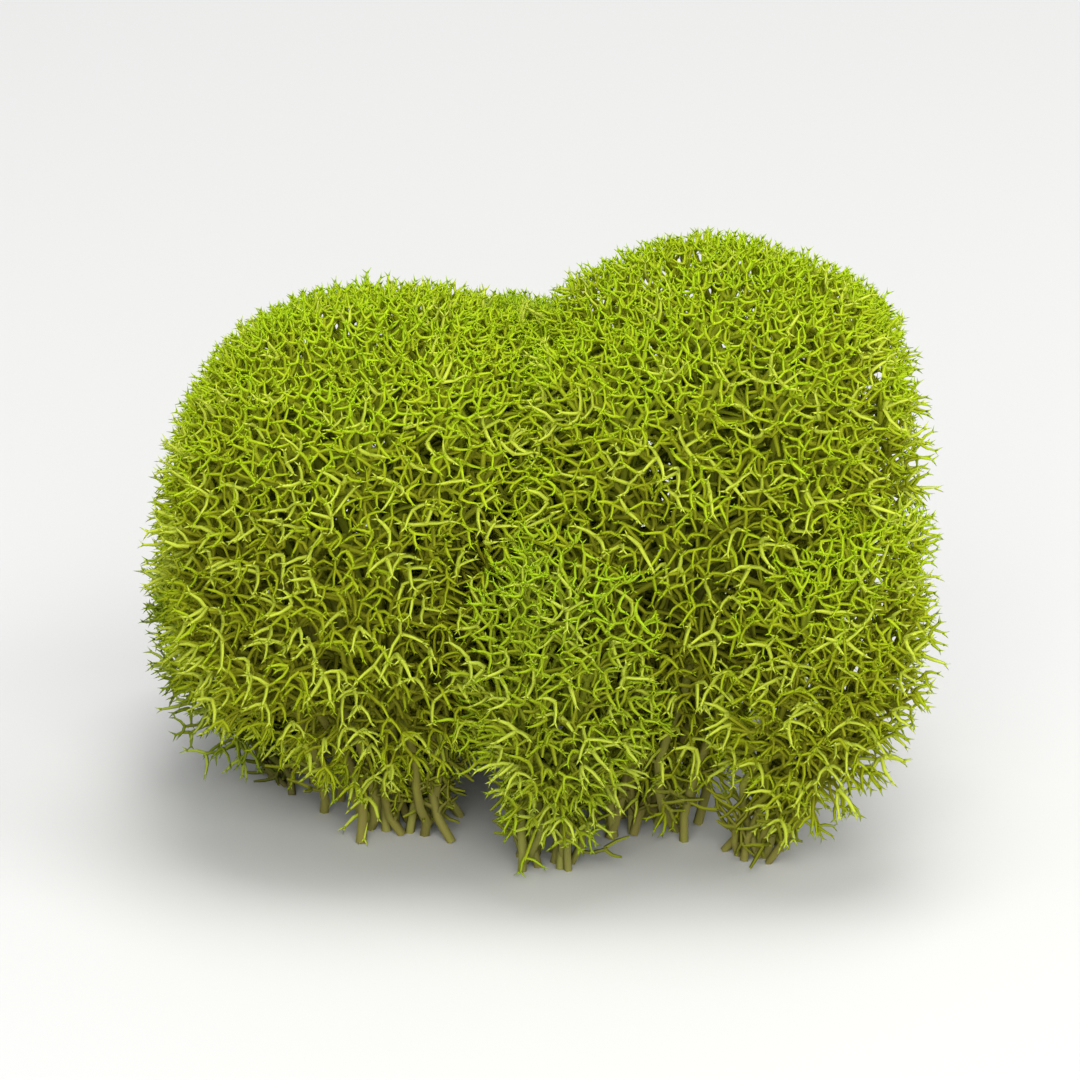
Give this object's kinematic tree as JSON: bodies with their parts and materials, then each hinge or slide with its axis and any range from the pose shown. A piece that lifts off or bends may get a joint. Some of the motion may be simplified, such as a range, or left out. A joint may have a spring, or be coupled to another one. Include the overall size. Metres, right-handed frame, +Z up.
{
  "type": "reindeer moss clump",
  "caption": "Two-lobed clump of dyed reindeer moss, a bushy cushion of branching lichen that rests on its flat-cut stalks.",
  "frame": {"origin": "centre of the clump's box, on the surface it rests on", "axes": "+Z up, +X to the right and -Y towards the viewer, seen from the side with the two lobes"},
  "size_m": [0.0648, 0.052, 0.05],
  "materials": {
    "lime_lichen": "soft matte dyed lichen, brightest at the tips",
    "leaf_green_lichen": "soft matte dyed lichen",
    "shaded_green_lichen": "soft matte dyed lichen, darker below"
  },
  "bodies": {
    "root": {"front_left_podetium": "lime_lichen", "front_right_podetium": "lime_lichen", "back_middle_podetium": "leaf_green_lichen", "back_left_podetium": "leaf_green_lichen", "back_right_podetium": "leaf_green_lichen", "front_low_podetium": "leaf_green_lichen", "right_low_podetium": "lime_lichen", "left_low_podetium": "shaded_green_lichen"}
  },
  "joints": []
}
